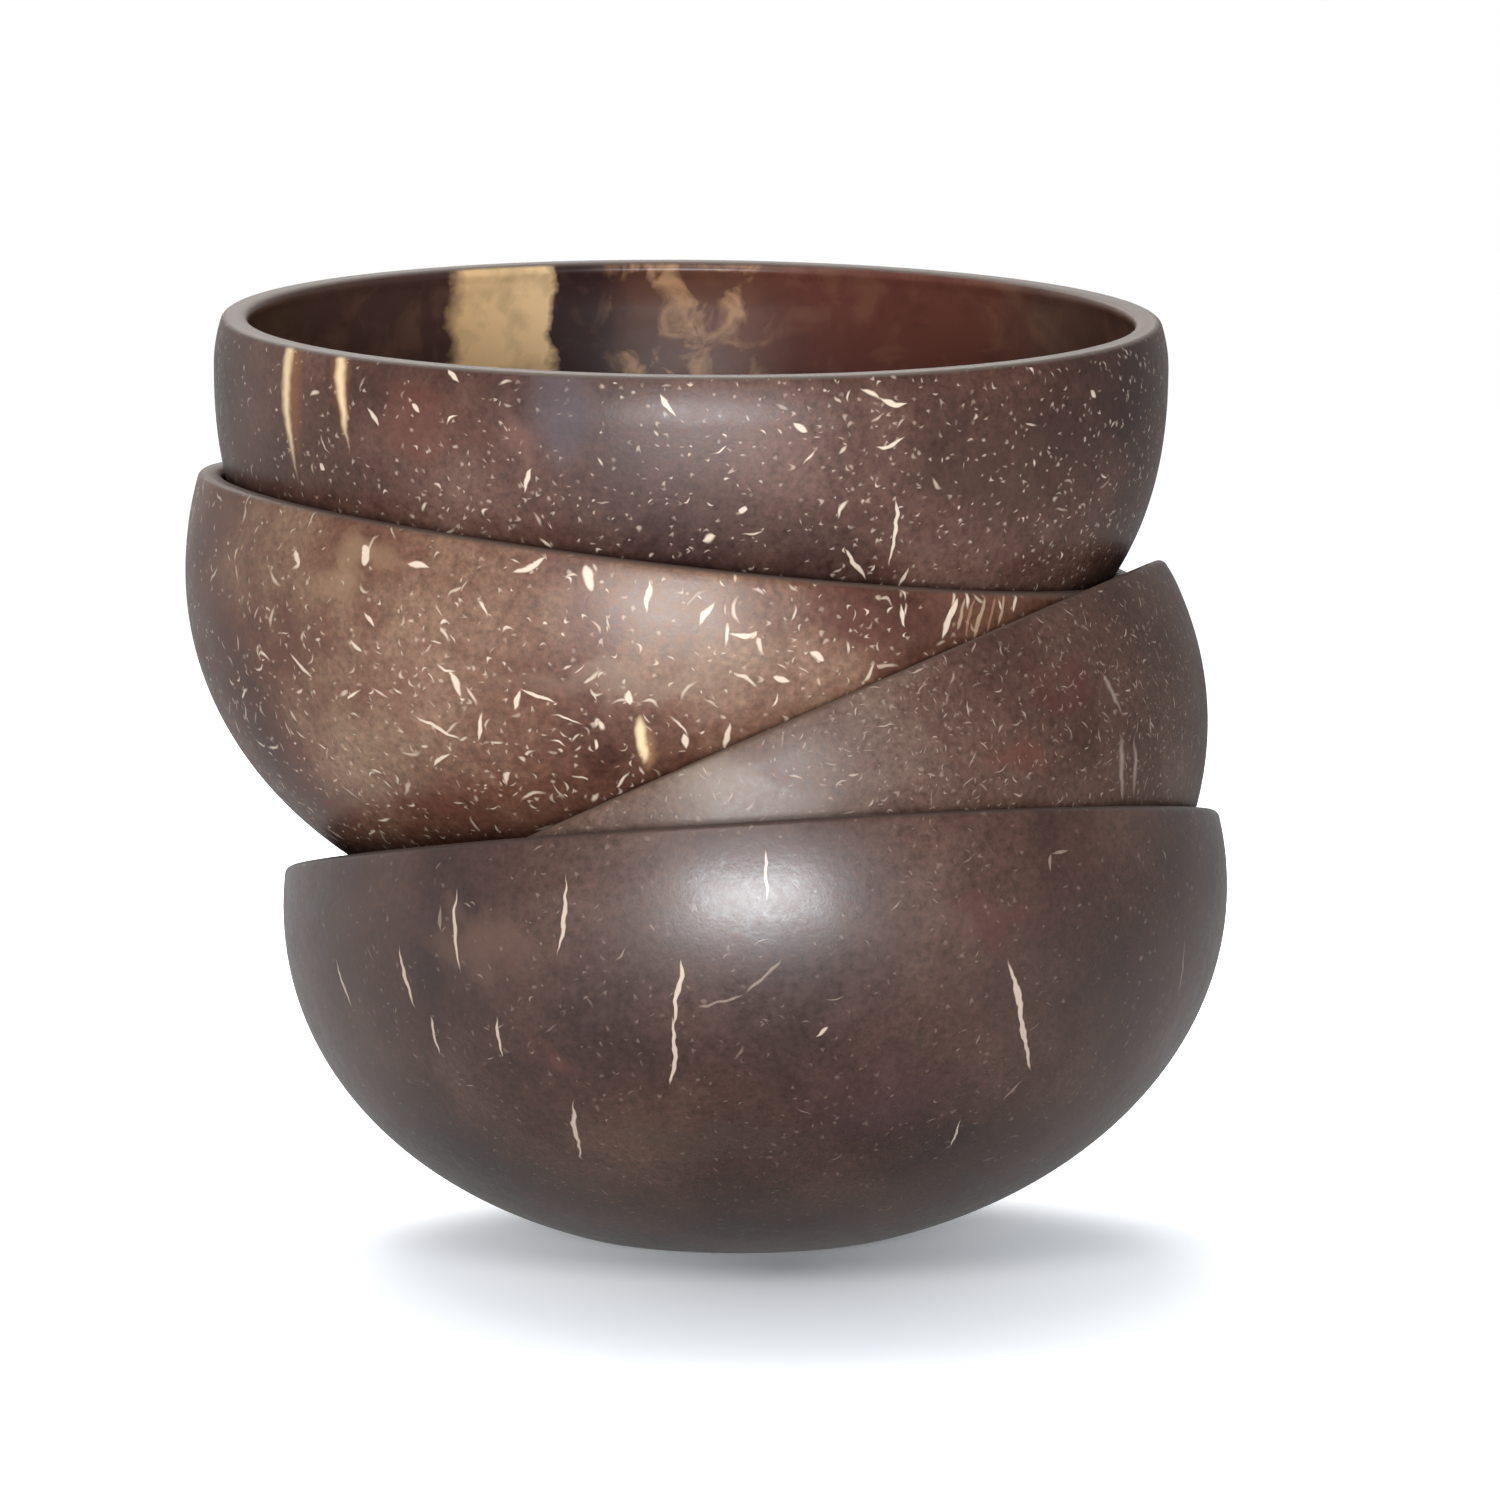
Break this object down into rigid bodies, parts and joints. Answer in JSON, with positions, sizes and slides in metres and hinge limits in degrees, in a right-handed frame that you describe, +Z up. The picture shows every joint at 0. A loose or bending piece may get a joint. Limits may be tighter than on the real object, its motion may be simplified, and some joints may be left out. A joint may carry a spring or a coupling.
{
  "type": "coconut shell bowl stack",
  "caption": "Nested stack of hollow coconut shell bowls with rounded rims and ground bases; each bowl lifts off the one below.",
  "frame": {"origin": "middle of the ground flat under the bottom bowl, on the table", "axes": "+Z up, +X to the right and -Y towards the viewer of the pictured stack"},
  "size_m": [0.1487, 0.1436, 0.1393],
  "materials": {
    "bottom_bowl_shell": "sanded and oiled coconut shell, satin",
    "second_bowl_shell": "sanded and oiled coconut shell, satin",
    "third_bowl_shell": "sanded and oiled coconut shell, satin",
    "top_bowl_shell": "sanded and oiled coconut shell, satin"
  },
  "bodies": {
    "bottom": {"bottom_bowl": "bottom_bowl_shell"},
    "second": {"second_bowl": "second_bowl_shell"},
    "third": {"third_bowl": "third_bowl_shell"},
    "top": {"top_bowl": "top_bowl_shell"}
  },
  "joints": [
    {"name": "second_lift", "type": "slide", "parent": "bottom", "child": "second", "axis": [0, 0, 1], "range_m": [0, 0.065]},
    {"name": "third_lift", "type": "slide", "parent": "second", "child": "third", "axis": [0, 0, 1], "range_m": [0, 0.065]},
    {"name": "top_lift", "type": "slide", "parent": "third", "child": "top", "axis": [0, 0, 1], "range_m": [0, 0.05]}
  ]
}
